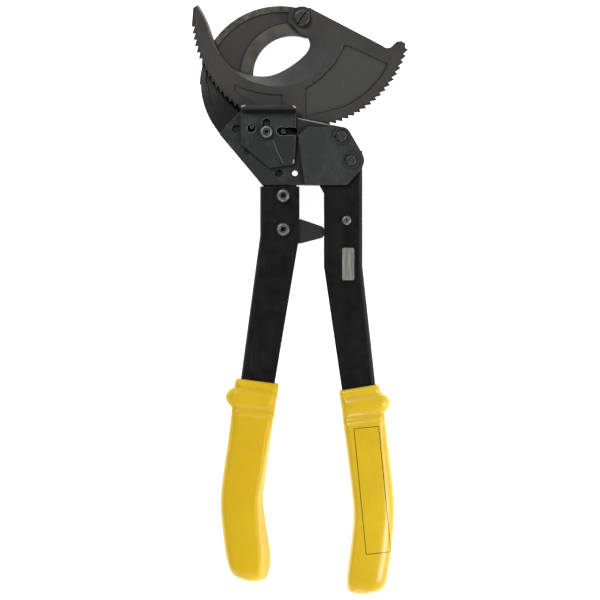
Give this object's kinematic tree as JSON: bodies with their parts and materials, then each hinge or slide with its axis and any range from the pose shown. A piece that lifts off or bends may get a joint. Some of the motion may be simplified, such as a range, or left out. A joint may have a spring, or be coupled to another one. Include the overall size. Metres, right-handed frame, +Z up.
{
  "type": "ratchet cable cutter",
  "caption": "Two-handed ratchet cable cutter: hooked fixed jaw, toothed crescent blade, release plate and long channel handles with PVC grips.",
  "frame": {"origin": "middle of the whole tool's footprint, on the surface that it lies on", "axes": "+Z up through the front of the tool as it lies on its back, +Y along the tool towards the hook, +X towards the moving handle"},
  "size_m": [0.1646, 0.4484, 0.0345],
  "materials": {
    "forged_black_steel": "blackened forged steel, satin",
    "blackened_plate": "black oxide plate, satin",
    "black_paint": "black powder paint, semi-gloss",
    "bright_steel": "turned steel, lightly oiled",
    "yellow_pvc": "glossy soft PVC"
  },
  "bodies": {
    "frame": {"fixed_jaw": "forged_black_steel", "front_plate": "blackened_plate", "frame_spacer": "blackened_plate", "frame_rivets": "blackened_plate", "tether_bush": "blackened_plate", "pivot_arm_spacer": "bright_steel", "blade_pivot_bolt": "bright_steel", "blade_pivot_washer": "bright_steel", "blade_pivot_nut": "bright_steel", "release_screw": "bright_steel", "holding_pawl_spring": "bright_steel", "fixed_handle_channel": "black_paint", "handle_spacer_block": "blackened_plate", "handle_screw_upper": "blackened_plate", "handle_screw_lower": "blackened_plate", "handle_nuts": "bright_steel", "handle_stop": "blackened_plate", "left_grip": "yellow_pvc"},
    "blade": {"moving_blade": "forged_black_steel"},
    "release": {"release_plate": "blackened_plate"},
    "holding_pawl_body": {"holding_pawl": "forged_black_steel", "holding_pawl_release_pin": "bright_steel"},
    "handle": {"moving_handle_channel": "black_paint", "front_cheek": "blackened_plate", "back_cheek": "blackened_plate", "handle_pivot_pin": "bright_steel", "handle_pivot_washer": "bright_steel", "handle_pivot_clip": "blackened_plate", "drive_pawl_pin": "bright_steel", "drive_pawl_sleeve": "bright_steel", "drive_pawl_washer": "bright_steel", "drive_pawl_clip": "blackened_plate", "drive_pawl_spring": "bright_steel", "brace_screw": "bright_steel", "brace_sleeve": "bright_steel", "brace_nut": "bright_steel", "right_grip": "yellow_pvc"},
    "drive_pawl_body": {"drive_pawl": "forged_black_steel", "drive_pawl_release_pin": "bright_steel"}
  },
  "joints": [
    {"name": "blade_pivot", "type": "hinge", "parent": "frame", "child": "blade", "pos_m": [0.00161, 0.21365, 0.0175], "axis": [0, 0, 1], "range_deg": [-55.38, 176.54]},
    {"name": "handle_pivot", "type": "hinge", "parent": "frame", "child": "handle", "pos_m": [0.03161, 0.12365, 0.015], "axis": [0, 0, 1], "range_deg": [0, 30]},
    {"name": "release_slide", "type": "slide", "parent": "frame", "child": "release", "axis": [0, -1, 0], "range_m": [0, 0.0015], "stiffness_N_per_m": 400, "springref_m": -0.002},
    {"name": "holding_pawl_pivot", "type": "hinge", "parent": "frame", "child": "holding_pawl_body", "pos_m": [-0.02539, 0.12685, 0.0175], "axis": [0, 0, 1], "range_deg": [0, 7.6], "deforming": ["holding_pawl_spring"]},
    {"name": "drive_pawl_pivot", "type": "hinge", "parent": "handle", "child": "drive_pawl_body", "pos_m": [0.03881, 0.10525, 0.0175], "axis": [0, 0, 1], "range_deg": [-22.6, 0]}
  ],
  "couplings": [
    {"joint": "holding_pawl_pivot", "follows": "release_slide", "rad_per_m": 88},
    {"joint": "drive_pawl_pivot", "follows": "handle_pivot", "ratio": -0.75}
  ]
}
